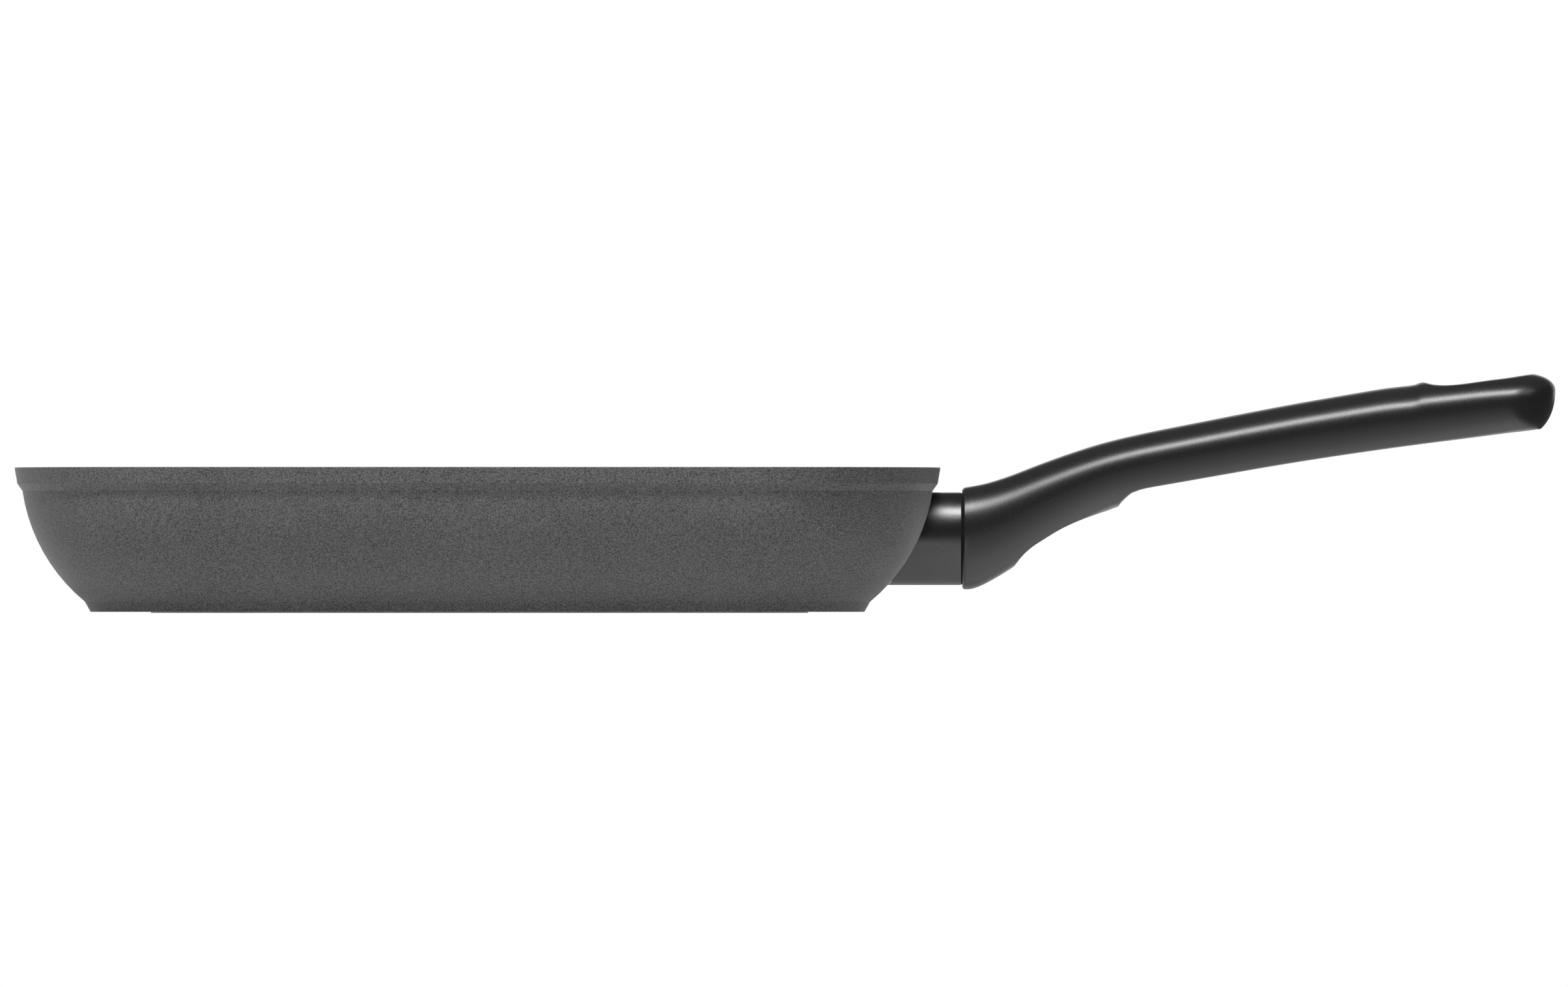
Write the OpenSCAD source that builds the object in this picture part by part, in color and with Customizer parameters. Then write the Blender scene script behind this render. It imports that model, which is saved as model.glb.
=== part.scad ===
// Square cast grill pan with a fixed moulded handle.
// Millimetres. The origin is the centre of the underside, +Z is up, and the handle points to +X.

/* [Pan] */
// Width over the rim, the same both ways
pan_w = 280; // [220:1:340]
// Height of the rim above the hob
pan_h = 44; // [40:0.5:60]
// Corner radius of the rim, seen from above
rim_corner_r = 55; // [50:0.5:75]
// Thickness of the side wall
wall_t = 4; // [3:0.1:5]
// Thickness of the floor, between the ribs
floor_t = 6; // [4:0.1:8]
// Depth of the upright band round the rim
band_h = 4.9; // [3:0.1:8]
// How much the rim band narrows from top to bottom
band_draft = 0.85; // [0.2:0.05:1.5]
// Height of the sloping step under the rim band
step_h = 2.2; // [1:0.1:4]
// How far the step goes in under the rim band
step_in = 1.55; // [0.5:0.05:2.5]
// Height of the foot band round the base
foot_h = 3.05; // [1:0.05:5]
// How much the foot band narrows from top to bottom
foot_draft = 1.7; // [0.5:0.1:3]
// Radius between the floor and the wall, inside
floor_fillet_r = 8; // [4:0.5:12]
// Radius on the rim's inner edge
rim_in_r = 1.5; // [0.5:0.1:2]
// Radius on the rim's outer edge
rim_out_r = 0.4; // [0.2:0.1:1]

/* [Ribs] */
// Height of a grilling rib above the floor
rib_h = 4; // [2:0.1:5]
// Width of a rib at the floor
rib_w = 4.4; // [3:0.1:6]
// Radius of a rib's round top
rib_top_r = 1.5; // [1:0.1:1.5]
// Distance from one rib to the next
rib_pitch = 12; // [9:0.5:20]
// Clear floor between the ribs and the start of the wall's curve
rib_margin = 5; // [2:0.5:20]

/* [Base disc] */
// Diameter of the steel disc
disc_d = 200; // [120:1:210]
// Thickness of the disc
disc_t = 1; // [0.6:0.1:2]
// How far the disc stands out below the casting
disc_proud = 0.35; // [0.2:0.05:0.5]
// Diameter of a cast peg that holds the disc
peg_d = 5; // [3:0.5:8]
// Number of rings of pegs
peg_rings = 4; // [1:1:5]
// Distance from one ring of pegs to the next
peg_ring_pitch = 21; // [14:1:21]

/* [Sleeve] */
// Height of the oval sleeve
sleeve_h = 28.2; // [25:0.1:32]
// Width of the oval sleeve
sleeve_w = 21.7; // [20:0.1:24]
// Wall of the sleeve
sleeve_t = 1; // [0.6:0.1:1.5]
// How far the sleeve reaches past the rim
sleeve_reach = 6.5; // [3:0.1:30]
// Height of the sleeve's middle, and of the screw, above the hob
axis_z = 22.6; // [20:0.1:24]

/* [Joint] */
// Thickness of the seal between sleeve and handle
seal_t = 0.4; // [0.4:0.1:2]
// How far the seal lies inside the sleeve's outline
seal_inset = 0.2; // [0.2:0.1:0.8]
// Height of the spigot on the boss's end
spigot_h = 22; // [18:0.1:23]
// Width of the spigot
spigot_w = 15.5; // [14:0.1:16]
// How far the spigot goes into the handle
spigot_len = 5.1; // [3:0.1:8]
// Thickness of the handle's web under the washers
web_t = 3.6; // [3:0.1:6]
// Clearance between pieces that slide together
fit_gap = 0.3; // [0.1:0.05:0.4]
// Clearance between pieces that are pressed or threaded together
tight_gap = 0.05; // [0.02:0.01:0.08]

/* [Screw] */
// Thread diameter of the screw
screw_d = 6; // [4:0.5:6]
// Length of the screw under its head
screw_len = 20; // [16:1:22]
// Diameter of the screw's head
head_d = 10.6; // [9:0.1:11.5]
// Height of the screw's head
head_h = 3.8; // [3:0.1:4.5]
// Outer diameter of the flat washer
washer_d = 12; // [11.5:0.1:13]
// Thickness of the flat washer
washer_t = 1.6; // [0.8:0.1:2]
// Outer diameter of the spring washer
spring_d = 11.4; // [10:0.1:11.5]
// Thickness of the spring washer
spring_t = 1.6; // [0.8:0.1:2]
// Outer diameter of the threaded insert
insert_d = 9; // [8:0.1:10]
// Length of the threaded insert
insert_len = 14; // [10:0.5:15]
// Height of the oval well that lets a screwdriver in under the neck
access_h = 17; // [14.5:0.1:18]
// Width of the oval well
access_w = 14.2; // [13.5:0.1:14.5]

/* [Handle] */
// Length of the handle
handle_len = 180.5; // [160:0.1:220]
// How far the handle's front stands out round the sleeve
collar = 1.35; // [0.8:0.05:2]
// Radius on the front edge of the handle
front_r = 0.9; // [0.5:0.1:1.5]
// Width of the handle at its neck
neck_w = 24; // [22:0.1:28]
// Width of the handle at the middle of the grip
grip_w = 25; // [22:0.1:30]
// Width of the handle at its tail
tail_w = 26.6; // [24:0.1:32]
// Wall left beside the hollow under the grip
grip_wall = 4; // [3:0.1:5]
// Depth of the hollow under the grip
hollow_depth = 8; // [4:0.1:9]

/* [Hanging slot] */
// Length of the slot
slot_len = 24; // [16:0.5:26]
// Width of the slot
slot_w = 11; // [8:0.1:13]
// Material left between the slot and the end of the handle
slot_end = 10.5; // [9:0.5:14]

/* [Hidden] */
$fn = 96;

// Seen from above, the pan is a square whose corners are turned about these axes.
corner_at = pan_w / 2 - rim_corner_r;
// The wall is one arc, centred just above the rim, on the axes of the corners.
arc_above_rim = 0.5;
arc_z = pan_h + arc_above_rim;
band_low_z = pan_h - band_h;
step_low_z = band_low_z - step_h;
band_low_x = rim_corner_r - band_draft;
step_low_x = band_low_x - step_in;
wall_r = norm([step_low_x, arc_z - step_low_z]);
inner_r = wall_r - wall_t;
base_z = disc_proud;
foot_top_z = base_z + foot_h;
foot_top_x = arc_x(wall_r, foot_top_z);
floor_z = base_z + floor_t;
// The fillet between floor and wall touches both.
fillet_z = floor_z + floor_fillet_r;
fillet_x = arc_x(inner_r - floor_fillet_r, fillet_z);
touch_z = arc_z - (arc_z - fillet_z) * inner_r / (inner_r - floor_fillet_r);
mouth_z = pan_h + 1;
// The bands run this far past the arc, so that they cross it cleanly.
lap = 0.5;

rib_field_r = fillet_x - rib_margin;
ribs_each_side = floor((corner_at + rib_field_r) / rib_pitch - 0.5);
rib_sink = 0.5;

sleeve_end_x = pan_w / 2 + sleeve_reach;
sleeve_gap = 0.15;
boss_h = sleeve_h - 2 * sleeve_t - 2 * fit_gap;
boss_w = sleeve_w - 2 * sleeve_t - 2 * fit_gap;
spigot_x = sleeve_end_x + seal_t + spigot_len;
front_x = sleeve_end_x + seal_t;
web_x = spigot_x + fit_gap;
washer_x = web_x + web_t;
spring_x = washer_x + washer_t;
head_x = spring_x + spring_t;
screw_tip_x = head_x - screw_len;
insert_x = spigot_x - insert_len;
screw_hole_end_x = min(insert_x, screw_tip_x) - 1.5;
washer_hole_d = screw_d + 0.4;
cross_w = 1.3;
cross_span = 0.56 * head_d;
cross_deep = 0.55 * head_h;

// The handle's outline in side view, as [distance behind its front face, height above the screw].
// The neck keeps its place, the grip stretches with the handle's length, and the tail moves with the end.
front_half_h = sleeve_h / 2 + collar;
front_w = sleeve_w + 2 * collar;
neck_end = 47.4;
tail_start = 134.9;
drawn_len = 180.5;
top_line = [
    [0, front_half_h], [6.9, front_half_h + 1.3], [14, front_half_h + 3.5], [23.5, 22.6], [33.1, 26.05],
    [42.5, 29], [53.1, 31.6], [70.9, 35.2], [99.3, 40.7], [123.1, 44.85], [129.2, 45.8], [134.9, 46.45],
    [137.3, 46.75], [139.7, 47.5], [148.1, 48.5], [158.7, 49.6], [171.1, 50.3], [180.5, 50.6]
];
bottom_line = [
    [0, -front_half_h], [3, -front_half_h + 0.2], [6.9, -front_half_h + 1.7], [14, -front_half_h + 5.8],
    [23.1, -3.45], [33.1, 2.9], [41.1, 7.15], [47.4, 9.7], [58.1, 12.55], [99.1, 20.2], [143.1, 27.1],
    [165.1, 30.85], [180.5, 33.9]
];
// The tail is rounded off by one ellipse above its tip, one below it, and one seen from above.
tip_z = 45;
tip_round = 9.4;
tip_above = 5.05;
tip_below = 13.4;
tip_plan_round = 14.4;
tip_flat = 0.5;

// The underside of the grip is cut off along this line, behind the nub under the neck.
under_line = [
    [51.6, 13.9], [54.3, 14.9], [56.7, 15.45], [63.8, 16.7], [99.3, 22.85], [127.8, 27.15], [156.2, 30.85],
    [168.7, 32.4], [175.2, 33.25]
];
nub = [47.4, 9.7];
nub_bulge_x = 1.9;
nub_bulge_z = 2.6;
// The top is dished round the hanging slot, from the lip to the tail.
dish_line = [[140.3, 47.6], [143.2, 46.95], [146.6, 46.7], [151.5, 47], [160.7, 48.3], [180.5, 51.05]];

hollow_front = 52.7;
hollow_end = slot_end + slot_len + 6;
cut_reach = 40;

section_points = 32;
section_power = 2.15;
grip_steps = 30;
neck_crowding = 1.25;
tail_steps = 12;
front_steps = 3;

function arc_x(r, z) = sqrt(r * r - (arc_z - z) * (arc_z - z));

// Where a point that was drawn at x lies on a handle of the chosen length.
function along(x) =
    x <= neck_end ? x
    : x >= tail_start ? x + handle_len - drawn_len
    : neck_end + (x - neck_end) * (tail_start - neck_end + handle_len - drawn_len) / (tail_start - neck_end);
function placed(line) = [for (p = line) [along(p[0]), p[1]]];

// A smooth curve through the points of a line, one height for each x.
function slope(line, i) =
    let (a = line[max(i - 1, 0)], b = line[min(i + 1, len(line) - 1)])
    (b[1] - a[1]) / (b[0] - a[0]);
function interval(line, x, i = 0) =
    i >= len(line) - 2 || x < line[i + 1][0] ? i : interval(line, x, i + 1);
function curve(line, x) =
    let (i = interval(line, x), a = line[i], b = line[i + 1], w = b[0] - a[0], t = (x - a[0]) / w)
    (2 * t ^ 3 - 3 * t ^ 2 + 1) * a[1] + (t ^ 3 - 2 * t ^ 2 + t) * w * slope(line, i)
    + (3 * t ^ 2 - 2 * t ^ 3) * b[1] + (t ^ 3 - t ^ 2) * w * slope(line, i + 1);

// The height of a unit quarter round, for a distance before the end of a rounded stretch.
function round_off(before_end, stretch) =
    before_end >= stretch ? 1 : sqrt(max(0, 1 - (1 - before_end / stretch) ^ 2));

handle_top = placed(top_line);
handle_bottom = placed(bottom_line);
handle_widths = [
    [0, front_w], [18.7, neck_w], [36.7, neck_w], [along(98.7), grip_w], [along(158.7), tail_w],
    [handle_len, tail_w]
];
function top_at(x) = let (e = handle_len - x)
    e >= tip_round ? curve(handle_top, x)
    : min(curve(handle_top, x), tip_z + tip_flat / 2 + tip_above * round_off(e, tip_round));
function bottom_at(x) = let (e = handle_len - x)
    e >= tip_round ? curve(handle_bottom, x)
    : max(curve(handle_bottom, x), tip_z - tip_flat / 2 - tip_below * round_off(e, tip_round));
function half_w_at(x) =
    max(tip_flat / 2, curve(handle_widths, x) / 2 * round_off(handle_len - x, tip_plan_round));

// Stations along the handle, as [x, inset]: a rounded front edge, steps that widen, then close steps to the tip.
tail_len = 30;
stations = concat(
    [for (i = [0 : front_steps]) let (a = 90 * i / (front_steps + 1)) [front_r * (1 - cos(a)), front_r * (1 - sin(a))]],
    [for (i = [0 : grip_steps - 1]) [front_r + (handle_len - tail_len - front_r) * (i / grip_steps) ^ neck_crowding, 0]],
    [for (i = [0 : tail_steps]) [handle_len - tail_len * (1 - sin(90 * i / tail_steps)), 0]]
);

function signed_power(v, p) = sign(v) * pow(abs(v), p);
function section(x, inset) =
    let (
        half_w = half_w_at(x) - inset,
        half_h = (top_at(x) - bottom_at(x)) / 2 - inset,
        mid = (top_at(x) + bottom_at(x)) / 2
    )
    [for (j = [0 : section_points - 1]) let (a = 360 * j / section_points)
        [x, half_w * signed_power(cos(a), 2 / section_power), mid + half_h * signed_power(sin(a), 2 / section_power)]];

// A closed skin over a row of sections with the same number of points.
module skin(sections) {
    n = len(sections[0]);
    last = (len(sections) - 1) * n;
    sides = [for (i = [0 : len(sections) - 2], j = [0 : n - 1], half = [0, 1])
        let (a = i * n + j, b = i * n + (j + 1) % n, c = b + n, d = a + n)
        half == 0 ? [a, d, c] : [a, c, b]];
    front = [[for (j = [0 : n - 1]) j]];
    back = [[for (j = [n - 1 : -1 : 0]) last + j]];
    polyhedron(points = [for (s = sections, p = s) p], faces = concat(sides, front, back));
}

// A 2-D outline, drawn as width and height, pushed along X.
module along_x(x, length) {
    translate([x, 0, 0]) rotate([90, 0, 90]) linear_extrude(length) children();
}

// A 2-D outline, drawn in X and Z, pushed along Y and centred.
module along_y(width) {
    rotate([90, 0, 0]) linear_extrude(width, center = true) children();
}

module rod_x(x, length, d) {
    translate([x, 0, axis_z]) rotate([0, 90, 0]) cylinder(h = length, d = d);
}

// The outline that the sleeve, the boss and what fits them share.
module ellipse(height, width) {
    scale([width / height, 1]) circle(d = height);
}

// An upright slot outline: two half circles and the straight sides between them.
module oblong(height, width) {
    straight = height - width;
    for (s = [-1, 1]) translate([0, s * straight / 2]) circle(d = width);
    square([width, straight], center = true);
}

// Material between a square corner at the origin and a round of radius r inside the quadrant (sx, sy).
module corner_spandrel(r, sx, sy) {
    difference() {
        translate([sx > 0 ? 0 : -r, sy > 0 ? 0 : -r]) square(r);
        translate([sx * r, sy * r]) circle(r);
    }
}

// The outside of the casting, from the corner's axis outwards.
module outside_profile() {
    difference() {
        union() {
            intersection() {
                translate([0, arc_z]) circle(wall_r, $fn = 360);
                translate([0, foot_top_z - lap]) square([pan_w, step_low_z - foot_top_z + 2 * lap]);
            }
            polygon([[0, base_z], [foot_top_x - foot_draft, base_z],
                     [foot_top_x + lap * foot_draft / foot_h, foot_top_z + lap], [0, foot_top_z + lap]]);
            polygon([[0, step_low_z - lap], [step_low_x - lap * step_in / step_h, step_low_z - lap],
                     [band_low_x, band_low_z], [rim_corner_r, pan_h], [0, pan_h]]);
        }
        translate([rim_corner_r, pan_h]) corner_spandrel(rim_out_r, -1, -1);
    }
}

// The hollow of the pan, from the corner's axis outwards.
module inside_profile() {
    intersection() {
        translate([0, arc_z]) circle(inner_r, $fn = 360);
        translate([0, touch_z]) square([pan_w, mouth_z - touch_z]);
    }
    translate([0, floor_z]) square([fillet_x, touch_z - floor_z]);
    intersection() {
        translate([fillet_x, fillet_z]) circle(floor_fillet_r);
        translate([fillet_x, floor_z]) square([floor_fillet_r, touch_z - floor_z]);
    }
    translate([arc_x(inner_r, pan_h - rim_in_r), pan_h]) corner_spandrel(rim_in_r, 1, -1);
}

module shell_profile() {
    difference() {
        outside_profile();
        inside_profile();
    }
}

// Carries a profile round the rounded square: four turned corners and four straight sides.
module round_the_square() {
    for (k = [0 : 3]) rotate(90 * k) {
        translate([corner_at, corner_at, 0]) rotate_extrude(angle = 90) children();
        translate([corner_at, 0, 0]) along_y(2 * corner_at) children();
    }
}

function rib_half_len(y) =
    abs(y) <= corner_at ? corner_at + rib_field_r
    : corner_at + sqrt(rib_field_r ^ 2 - (abs(y) - corner_at) ^ 2);

// Half of a rib's section: a sloping side under a round top.
module half_rib_section() {
    intersection() {
        union() {
            polygon([[0, -rib_sink], [rib_w / 2, -rib_sink], [rib_w / 2, 0], [rib_top_r, rib_h - rib_top_r],
                     [0, rib_h - rib_top_r]]);
            translate([0, rib_h - rib_top_r]) circle(rib_top_r);
        }
        translate([0, -rib_sink]) square([rib_w, rib_h + rib_sink]);
    }
}

module rib(half_len) {
    straight = half_len - rib_w / 2;
    along_x(-straight, 2 * straight) {
        half_rib_section();
        mirror([1, 0]) half_rib_section();
    }
    for (s = [0, 1]) mirror([s, 0, 0]) translate([straight, 0, 0])
        rotate(-90) rotate_extrude(angle = 180) half_rib_section();
}

module ribs() {
    for (k = [-ribs_each_side : ribs_each_side], y = [k * rib_pitch])
        translate([0, y, floor_z]) rib(rib_half_len(y));
}

// Rings of round pegs, with none at the middle.
module peg_pattern(d, z, height) {
    for (ring = [1 : peg_rings], i = [0 : 6 * ring - 1]) rotate(60 * i / ring + 15 * ring)
        translate([ring * peg_ring_pitch, 0, z]) cylinder(h = height, d = d, $fn = 32);
}

// The boss that carries the handle, cast on the +X wall and shouldered for the spigot.
module boss() {
    difference() {
        union() {
            along_x(corner_at, sleeve_end_x - corner_at) translate([0, axis_z]) ellipse(boss_h, boss_w);
            along_x(corner_at, spigot_x - corner_at) translate([0, axis_z]) ellipse(spigot_h, spigot_w);
        }
        translate([corner_at, 0, arc_z]) rotate([90, 0, 0])
            cylinder(h = 2 * corner_at, r = wall_r - wall_t / 2, center = true, $fn = 360);
    }
}

module pan_body() {
    color("dimgray") difference() {
        union() {
            round_the_square() shell_profile();
            translate([-corner_at, -corner_at, base_z]) cube([2 * corner_at, 2 * corner_at, floor_t]);
            ribs();
            boss();
        }
        difference() {
            translate([0, 0, base_z - 1]) cylinder(h = disc_t - disc_proud + 1, d = disc_d + 2 * tight_gap, $fn = 180);
            peg_pattern(peg_d, base_z - 1, disc_t + 1);
        }
        rod_x(insert_x, insert_len + 1, insert_d + 2 * tight_gap);
        rod_x(screw_hole_end_x, spigot_x - screw_hole_end_x, screw_d + 2 * tight_gap);
    }
}

module induction_disc() {
    color("silver") difference() {
        cylinder(h = disc_t, d = disc_d, $fn = 180);
        peg_pattern(peg_d + 2 * tight_gap, -1, disc_t + 2);
    }
}

// The sleeve's inner end is cut to the curve of the wall.
module flame_guard() {
    color("gray") difference() {
        along_x(corner_at, sleeve_end_x - corner_at) translate([0, axis_z]) difference() {
            ellipse(sleeve_h, sleeve_w);
            ellipse(sleeve_h - 2 * sleeve_t, sleeve_w - 2 * sleeve_t);
        }
        translate([corner_at, 0, arc_z]) rotate([90, 0, 0])
            cylinder(h = 2 * corner_at, r = wall_r + sleeve_gap, center = true, $fn = 360);
    }
}

module handle_seal() {
    color("black") along_x(sleeve_end_x, seal_t) translate([0, axis_z]) difference() {
        ellipse(sleeve_h - 2 * seal_inset, sleeve_w - 2 * seal_inset);
        ellipse(spigot_h + 2 * fit_gap, spigot_w + 2 * fit_gap);
    }
}

// What is cut away under the grip, from the nub back.
module underside_cut() {
    line = placed(under_line);
    first = line[0];
    steps = 40;
    edge = [for (i = [0 : steps]) let (x = first[0] + (handle_len - first[0]) * i / steps) [x, curve(line, x)]];
    nub_curve = [for (t = [0 : 0.125 : 0.9])
        (1 - t) ^ 2 * nub + 2 * t * (1 - t) * (nub + [nub_bulge_x, nub_bulge_z]) + t ^ 2 * first];
    polygon(concat([[handle_len + 1, -cut_reach], [nub[0], -cut_reach]], nub_curve, edge,
                   [[handle_len + 1, edge[steps][1]]]));
}

// What is cut away over the hanging slot.
module dish_cut() {
    line = placed(dish_line);
    first = line[0][0];
    steps = 30;
    edge = [for (i = [0 : steps]) let (x = first + (handle_len - first) * i / steps) [x, curve(line, x)]];
    polygon(concat([[first - 2, tip_z + cut_reach]], edge,
                   [[handle_len + 1, edge[steps][1]], [handle_len + 1, tip_z + cut_reach]]));
}

// The hollow under the grip, as deep as hollow_depth all along the cut.
module hollow_side() {
    line = placed(under_line);
    last = handle_len - hollow_end;
    steps = 20;
    roof = [for (i = [0 : steps]) let (x = hollow_front + (last - hollow_front) * i / steps)
        [x, curve(line, x) + hollow_depth]];
    polygon(concat([[last, -cut_reach], [hollow_front, -cut_reach]], roof));
}

module hollow_plan() {
    half_w = grip_w / 2 - grip_wall - 2;
    last = handle_len - hollow_end;
    translate([hollow_front + half_w, 0]) circle(half_w);
    translate([last - half_w, 0]) circle(half_w);
    translate([hollow_front + half_w, -half_w]) square([last - hollow_front - 2 * half_w, 2 * half_w]);
}

module hanging_slot() {
    straight = slot_len - slot_w;
    translate([handle_len - slot_end - slot_len / 2, 0, 0]) linear_extrude(2 * cut_reach) {
        for (s = [-1, 1]) translate([s * straight / 2, 0]) circle(d = slot_w);
        square([straight, slot_w], center = true);
    }
}

module handle() {
    color("#2b2b2b") difference() {
        translate([front_x, 0, axis_z]) difference() {
            skin([for (s = stations) section(s[0], s[1])]);
            along_y(2 * cut_reach) underside_cut();
            along_y(2 * cut_reach) dish_cut();
            intersection() {
                along_y(2 * cut_reach) hollow_side();
                translate([0, 0, -cut_reach]) linear_extrude(3 * cut_reach) hollow_plan();
            }
            hanging_slot();
        }
        along_x(front_x - 1, web_x - front_x + 1) translate([0, axis_z])
            ellipse(spigot_h + 2 * fit_gap, spigot_w + 2 * fit_gap);
        rod_x(front_x, washer_x - front_x + 1, washer_hole_d);
        along_x(washer_x, handle_len / 3) translate([0, axis_z]) oblong(access_h, access_w);
    }
}

// A steel bush with two grooves that key it into the casting.
module threaded_insert() {
    groove_w = 1.2;
    color("lightgray") difference() {
        rod_x(insert_x, insert_len, insert_d);
        rod_x(insert_x - 1, insert_len + 2, screw_d);
        for (s = [1, 2]) difference() {
            rod_x(insert_x + s * insert_len / 3 - groove_w / 2, groove_w, insert_d + 1);
            rod_x(insert_x, insert_len, insert_d - 0.8);
        }
    }
}

module handle_screw() {
    dome_r = 0.75 * head_d;
    color("lightgray") {
        rod_x(screw_tip_x, screw_len + 0.5, screw_d - 2 * tight_gap);
        difference() {
            translate([head_x, 0, axis_z]) rotate([0, 90, 0]) rotate_extrude() intersection() {
                square([head_d / 2, head_h]);
                translate([0, head_h - dome_r]) circle(dome_r);
            }
            for (turn = [0, 90]) translate([head_x + head_h, 0, axis_z]) rotate([turn, 0, 0])
                cube([2 * cross_deep, cross_span, cross_w], center = true);
        }
    }
}

// A ring cut through on the slant.
module spring_washer() {
    split_w = 1;
    color("lightgray") difference() {
        rod_x(spring_x, spring_t, spring_d);
        rod_x(spring_x - 1, spring_t + 2, washer_hole_d);
        translate([spring_x + spring_t / 2, 0, axis_z + spring_d / 2]) rotate([0, 0, 35])
            cube([3 * spring_t, split_w, spring_d - screw_d + 1], center = true);
    }
}

module flat_washer() {
    color("lightgray") difference() {
        rod_x(washer_x, washer_t, washer_d);
        rod_x(washer_x - 1, washer_t + 2, washer_hole_d);
    }
}

pan_body();
induction_disc();
flame_guard();
handle_seal();
handle();
threaded_insert();
handle_screw();
spring_washer();
flat_washer();
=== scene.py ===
"""Visible model of a square cast grill pan: its meshes, its finishes, the studio and the camera.

Sizes are in millimetres in this file. They become metres where a mesh, a lamp or the camera is made.
The origin is the centre of the pan's underside, +Z is up, and the handle points to +X.
"""

import logging
import math
from collections.abc import Callable, Sequence
from dataclasses import dataclass, field
from enum import Enum

import bmesh
import bpy
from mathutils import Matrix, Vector

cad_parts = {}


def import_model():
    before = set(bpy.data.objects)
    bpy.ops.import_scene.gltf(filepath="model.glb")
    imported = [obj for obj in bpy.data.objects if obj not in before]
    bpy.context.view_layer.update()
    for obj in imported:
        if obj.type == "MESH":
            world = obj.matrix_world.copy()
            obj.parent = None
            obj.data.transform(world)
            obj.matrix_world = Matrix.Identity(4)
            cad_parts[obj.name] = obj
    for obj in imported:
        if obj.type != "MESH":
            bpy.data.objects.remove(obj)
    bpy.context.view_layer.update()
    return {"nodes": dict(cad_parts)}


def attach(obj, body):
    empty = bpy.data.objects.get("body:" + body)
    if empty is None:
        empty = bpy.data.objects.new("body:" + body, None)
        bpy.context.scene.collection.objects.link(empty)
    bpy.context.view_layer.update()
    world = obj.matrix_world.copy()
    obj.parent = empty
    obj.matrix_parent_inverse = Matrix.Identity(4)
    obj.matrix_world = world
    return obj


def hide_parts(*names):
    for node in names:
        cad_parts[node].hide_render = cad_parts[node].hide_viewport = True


Range = tuple[float, float]
Point2 = tuple[float, float]
Point3 = tuple[float, float, float]
Height = Callable[[float], float]
Level = tuple[float, Height]

MM = 0.001
WHITE = (1.0, 1.0, 1.0, 1.0)

# Two points of a mesh become one when they are closer than this, in metres.
WELD = 1e-7

# A height that no part of the handle comes near.
FAR = 1e3

# Most of a noise lies between these two values.
NOISE_RANGE: Range = (0.3, 0.7)

log = logging.getLogger("grill_pan")


class Slot(Enum):
    """The names of the material slots; each finish carries one."""

    CAST = "cast_coating"
    BASE = "base_steel"
    SLEEVE = "sleeve_metal"
    SEAL = "seal_rubber"
    RESIN = "handle_resin"
    FASTENER = "fastener_steel"


class Ray(Enum):
    """The rays that see the pale background instead of the studio's own light."""

    CAMERA = "Is Camera Ray"
    GLOSSY = "Is Glossy Ray"
    TRANSMISSION = "Is Transmission Ray"


class Output(Enum):
    """The nodes that a shader ends in."""

    MATERIAL = "ShaderNodeOutputMaterial"
    WORLD = "ShaderNodeOutputWorld"


@dataclass(frozen=True)
class Grain:
    """A noise: its grain in millimetres, its finer layers, their strength, and its stretch."""

    size: float
    layers: float = 2.0
    rough: float = 0.5
    stretch: Point3 | None = None


@dataclass(frozen=True)
class Tooth:
    """A bump: how high it is in millimetres, and how much of it is used."""

    depth: float
    strength: float


def grey(value: float) -> Point3:
    """Gives a neutral colour."""
    return (value, value, value)


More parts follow.
